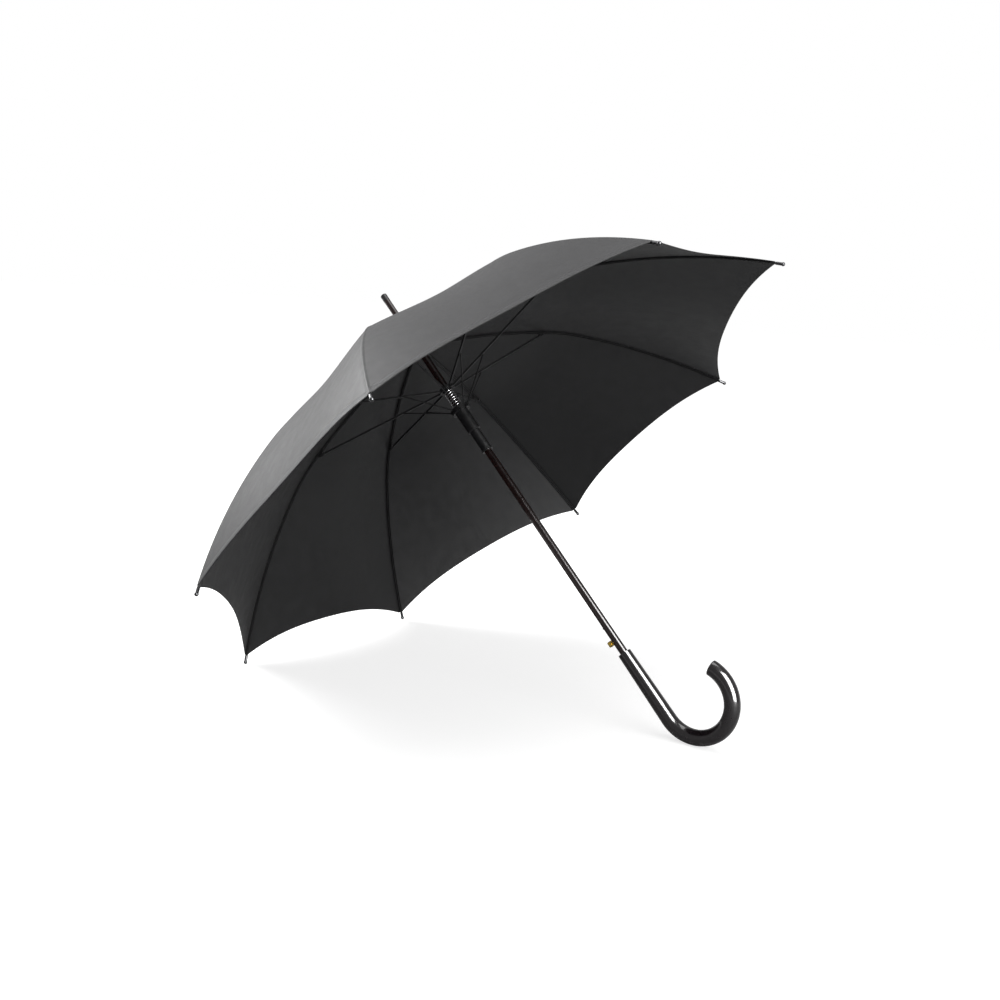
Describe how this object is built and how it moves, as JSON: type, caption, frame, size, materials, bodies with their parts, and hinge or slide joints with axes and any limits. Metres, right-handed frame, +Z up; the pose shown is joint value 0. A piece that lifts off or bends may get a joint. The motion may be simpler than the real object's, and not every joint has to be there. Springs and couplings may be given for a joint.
{
  "type": "stick umbrella",
  "caption": "Open stick umbrella with a black scalloped canopy, spring-opened folding steel frame, slim shaft with runner and release button, and a glossy crook handle.",
  "frame": {"origin": "bottom centre of the open umbrella as it lies, on the floor plane", "axes": "+Z up from the floor, +X towards the handle end, +Y across; the shaft lies in the XZ plane, inclined about 45 degrees, ferrule up and towards -X"},
  "size_m": [0.759, 0.9536, 0.6822],
  "materials": {
    "canopy_fabric": "tight woven black polyester, satin sheen",
    "frame_paint": "black enamelled steel",
    "tip_metal": "dark nickel",
    "shaft_lacquer": "gloss dark wine lacquer on steel",
    "runner_plastic": "moulded black nylon",
    "black_plastic": "black moulding",
    "handle_gloss": "high gloss near-black lacquer",
    "bright_steel": "bright spring wire",
    "brass": "polished brass"
  },
  "bodies": {
    "shaft": {"shaft_tube": "shaft_lacquer", "ferrule": "shaft_lacquer", "ferrule_cap": "black_plastic", "top_notch": "runner_plastic", "top_notch_wire": "bright_steel", "crown_washer": "black_plastic", "crook_handle": "handle_gloss"},
    "catch": {"push_button": "brass", "catch_tooth": "bright_steel", "catch_leaf_spring": "bright_steel"},
    "upper_runner": {"upper_runner": "runner_plastic", "upper_runner_wire": "bright_steel", "main_spring": "bright_steel"},
    "lower_runner": {"lower_runner": "runner_plastic"},
    "rib_1": {"rib_1": "frame_paint", "rib_tip_1": "tip_metal", "canopy_gore_1": "canopy_fabric"},
    "stretcher_1": {"stretcher_1": "frame_paint"},
    "link_1": {"link_1": "frame_paint"},
    "rib_2": {"rib_2": "frame_paint", "rib_tip_2": "tip_metal", "canopy_gore_2": "canopy_fabric", "tie_strap": "canopy_fabric", "tie_snap": "tip_metal"},
    "stretcher_2": {"stretcher_2": "frame_paint"},
    "link_2": {"link_2": "frame_paint"},
    "rib_3": {"rib_3": "frame_paint", "rib_tip_3": "tip_metal", "canopy_gore_3": "canopy_fabric"},
    "stretcher_3": {"stretcher_3": "frame_paint"},
    "link_3": {"link_3": "frame_paint"},
    "rib_4": {"rib_4": "frame_paint", "rib_tip_4": "tip_metal", "canopy_gore_4": "canopy_fabric"},
    "stretcher_4": {"stretcher_4": "frame_paint"},
    "link_4": {"link_4": "frame_paint"},
    "rib_5": {"rib_5": "frame_paint", "rib_tip_5": "tip_metal", "canopy_gore_5": "canopy_fabric"},
    "stretcher_5": {"stretcher_5": "frame_paint"},
    "link_5": {"link_5": "frame_paint"},
    "rib_6": {"rib_6": "frame_paint", "rib_tip_6": "tip_metal", "canopy_gore_6": "canopy_fabric"},
    "stretcher_6": {"stretcher_6": "frame_paint"},
    "link_6": {"link_6": "frame_paint"},
    "rib_7": {"rib_7": "frame_paint", "rib_tip_7": "tip_metal", "canopy_gore_7": "canopy_fabric"},
    "stretcher_7": {"stretcher_7": "frame_paint"},
    "link_7": {"link_7": "frame_paint"},
    "rib_8": {"rib_8": "frame_paint", "rib_tip_8": "tip_metal", "canopy_gore_8": "canopy_fabric"},
    "stretcher_8": {"stretcher_8": "frame_paint"},
    "link_8": {"link_8": "frame_paint"}
  },
  "joints": [
    {"name": "rib_1_fold", "type": "hinge", "parent": "shaft", "child": "rib_1", "pos_m": [-0.20706, 0.00383, 0.52001], "axis": [-0.2697, 0.9239, -0.2715], "range_deg": [0, 62.8], "stiffness_Nm_per_rad": 3, "springref_deg": -57.3, "deforming": ["canopy_gore_1"]},
    {"name": "stretcher_1_pivot", "type": "hinge", "parent": "rib_1", "child": "stretcher_1", "pos_m": [-0.03015, 0.08991, 0.63721], "axis": [-0.2697, 0.9239, -0.2715], "range_deg": [-125.6, 0]},
    {"name": "link_1_pivot", "type": "hinge", "parent": "stretcher_1", "child": "link_1", "pos_m": [-0.1102, 0.03052, 0.51462], "axis": [-0.2697, 0.9239, -0.2715], "range_deg": [0, 22.65]},
    {"name": "rib_2_fold", "type": "hinge", "parent": "shaft", "child": "rib_2", "pos_m": [-0.21087, 0.00924, 0.51617], "axis": [-0.6511, 0.3827, -0.6555], "range_deg": [0, 62.8], "deforming": ["canopy_gore_2", "tie_strap", "tie_snap"]},
    {"name": "stretcher_2_pivot", "type": "hinge", "parent": "rib_2", "child": "stretcher_2", "pos_m": [-0.11976, 0.21706, 0.547], "axis": [-0.6511, 0.3827, -0.6555], "range_deg": [-125.6, 0]},
    {"name": "link_2_pivot", "type": "hinge", "parent": "stretcher_2", "child": "link_2", "pos_m": [-0.14061, 0.07367, 0.484], "axis": [-0.6511, 0.3827, -0.6555], "range_deg": [0, 22.65]},
    {"name": "rib_3_fold", "type": "hinge", "parent": "shaft", "child": "rib_3", "pos_m": [-0.21626, 0.00924, 0.51074], "axis": [-0.6511, -0.3827, -0.6555], "range_deg": [0, 62.8], "deforming": ["canopy_gore_3"]},
    {"name": "stretcher_3_pivot", "type": "hinge", "parent": "rib_3", "child": "stretcher_3", "pos_m": [-0.24649, 0.21706, 0.41943], "axis": [-0.6511, -0.3827, -0.6555], "range_deg": [-125.6, 0]},
    {"name": "link_3_pivot", "type": "hinge", "parent": "stretcher_3", "child": "link_3", "pos_m": [-0.18362, 0.07367, 0.4407], "axis": [-0.6511, -0.3827, -0.6555], "range_deg": [0, 22.65]},
    {"name": "rib_4_fold", "type": "hinge", "parent": "shaft", "child": "rib_4", "pos_m": [-0.22008, 0.00383, 0.5069], "axis": [-0.2697, -0.9239, -0.2715], "range_deg": [0, 62.8], "deforming": ["canopy_gore_4"]},
    {"name": "stretcher_4_pivot", "type": "hinge", "parent": "rib_4", "child": "stretcher_4", "pos_m": [-0.33609, 0.08991, 0.32922], "axis": [-0.2697, -0.9239, -0.2715], "range_deg": [-125.6, 0]},
    {"name": "link_4_pivot", "type": "hinge", "parent": "stretcher_4", "child": "link_4", "pos_m": [-0.21404, 0.03052, 0.41008], "axis": [-0.2697, -0.9239, -0.2715], "range_deg": [0, 22.65]},
    {"name": "rib_5_fold", "type": "hinge", "parent": "shaft", "child": "rib_5", "pos_m": [-0.22008, -0.00383, 0.5069], "axis": [0.2697, -0.9239, 0.2715], "range_deg": [0, 62.8], "deforming": ["canopy_gore_5"]},
    {"name": "stretcher_5_pivot", "type": "hinge", "parent": "rib_5", "child": "stretcher_5", "pos_m": [-0.33609, -0.08991, 0.32922], "axis": [0.2697, -0.9239, 0.2715], "range_deg": [-125.6, 0]},
    {"name": "link_5_pivot", "type": "hinge", "parent": "stretcher_5", "child": "link_5", "pos_m": [-0.21404, -0.03052, 0.41008], "axis": [0.2697, -0.9239, 0.2715], "range_deg": [0, 22.65]},
    {"name": "rib_6_fold", "type": "hinge", "parent": "shaft", "child": "rib_6", "pos_m": [-0.21626, -0.00924, 0.51074], "axis": [0.6511, -0.3827, 0.6555], "range_deg": [0, 62.8], "deforming": ["canopy_gore_6"]},
    {"name": "stretcher_6_pivot", "type": "hinge", "parent": "rib_6", "child": "stretcher_6", "pos_m": [-0.24649, -0.21706, 0.41943], "axis": [0.6511, -0.3827, 0.6555], "range_deg": [-125.6, 0]},
    {"name": "link_6_pivot", "type": "hinge", "parent": "stretcher_6", "child": "link_6", "pos_m": [-0.18362, -0.07367, 0.4407], "axis": [0.6511, -0.3827, 0.6555], "range_deg": [0, 22.65]},
    {"name": "rib_7_fold", "type": "hinge", "parent": "shaft", "child": "rib_7", "pos_m": [-0.21087, -0.00924, 0.51617], "axis": [0.6511, 0.3827, 0.6555], "range_deg": [0, 62.8], "deforming": ["canopy_gore_7"]},
    {"name": "stretcher_7_pivot", "type": "hinge", "parent": "rib_7", "child": "stretcher_7", "pos_m": [-0.11976, -0.21706, 0.547], "axis": [0.6511, 0.3827, 0.6555], "range_deg": [-125.6, 0]},
    {"name": "link_7_pivot", "type": "hinge", "parent": "stretcher_7", "child": "link_7", "pos_m": [-0.14061, -0.07367, 0.484], "axis": [0.6511, 0.3827, 0.6555], "range_deg": [0, 22.65]},
    {"name": "rib_8_fold", "type": "hinge", "parent": "shaft", "child": "rib_8", "pos_m": [-0.20706, -0.00383, 0.52001], "axis": [0.2697, 0.9239, 0.2715], "range_deg": [0, 62.8], "deforming": ["canopy_gore_8"]},
    {"name": "stretcher_8_pivot", "type": "hinge", "parent": "rib_8", "child": "stretcher_8", "pos_m": [-0.03015, -0.08991, 0.63721], "axis": [0.2697, 0.9239, 0.2715], "range_deg": [-125.6, 0]},
    {"name": "link_8_pivot", "type": "hinge", "parent": "stretcher_8", "child": "link_8", "pos_m": [-0.1102, -0.03052, 0.51462], "axis": [0.2697, 0.9239, 0.2715], "range_deg": [0, 22.65]},
    {"name": "upper_runner_hinge", "type": "hinge", "parent": "stretcher_1", "child": "upper_runner", "pos_m": [-0.14617, 0.00383, 0.45953], "axis": [-0.2697, 0.9239, -0.2715], "range_deg": [0, 62.8]},
    {"name": "lower_runner_slide", "type": "slide", "parent": "upper_runner", "child": "lower_runner", "axis": [-0.7095, 0, 0.7047], "range_m": [0, 0.02346], "deforming": ["main_spring"]},
    {"name": "button_press", "type": "slide", "parent": "shaft", "child": "catch", "axis": [0.7047, 0, 0.7095], "range_m": [0, 0.002], "stiffness_N_per_m": 1200, "springref_m": -0.002, "deforming": ["catch_leaf_spring"]}
  ],
  "couplings": [
    {"joint": "stretcher_1_pivot", "follows": "rib_1_fold", "ratio": -2},
    {"joint": "link_1_pivot", "follows": "rib_1_fold", "ratio": 0.36058},
    {"joint": "rib_2_fold", "follows": "rib_1_fold", "ratio": 1},
    {"joint": "stretcher_2_pivot", "follows": "rib_1_fold", "ratio": -2},
    {"joint": "link_2_pivot", "follows": "rib_1_fold", "ratio": 0.36058},
    {"joint": "rib_3_fold", "follows": "rib_1_fold", "ratio": 1},
    {"joint": "stretcher_3_pivot", "follows": "rib_1_fold", "ratio": -2},
    {"joint": "link_3_pivot", "follows": "rib_1_fold", "ratio": 0.36058},
    {"joint": "rib_4_fold", "follows": "rib_1_fold", "ratio": 1},
    {"joint": "stretcher_4_pivot", "follows": "rib_1_fold", "ratio": -2},
    {"joint": "link_4_pivot", "follows": "rib_1_fold", "ratio": 0.36058},
    {"joint": "rib_5_fold", "follows": "rib_1_fold", "ratio": 1},
    {"joint": "stretcher_5_pivot", "follows": "rib_1_fold", "ratio": -2},
    {"joint": "link_5_pivot", "follows": "rib_1_fold", "ratio": 0.36058},
    {"joint": "rib_6_fold", "follows": "rib_1_fold", "ratio": 1},
    {"joint": "stretcher_6_pivot", "follows": "rib_1_fold", "ratio": -2},
    {"joint": "link_6_pivot", "follows": "rib_1_fold", "ratio": 0.36058},
    {"joint": "rib_7_fold", "follows": "rib_1_fold", "ratio": 1},
    {"joint": "stretcher_7_pivot", "follows": "rib_1_fold", "ratio": -2},
    {"joint": "link_7_pivot", "follows": "rib_1_fold", "ratio": 0.36058},
    {"joint": "rib_8_fold", "follows": "rib_1_fold", "ratio": 1},
    {"joint": "stretcher_8_pivot", "follows": "rib_1_fold", "ratio": -2},
    {"joint": "link_8_pivot", "follows": "rib_1_fold", "ratio": 0.36058},
    {"joint": "upper_runner_hinge", "follows": "rib_1_fold", "ratio": 1},
    {"joint": "lower_runner_slide", "follows": "rib_1_fold", "m_per_rad": 0.021395}
  ]
}
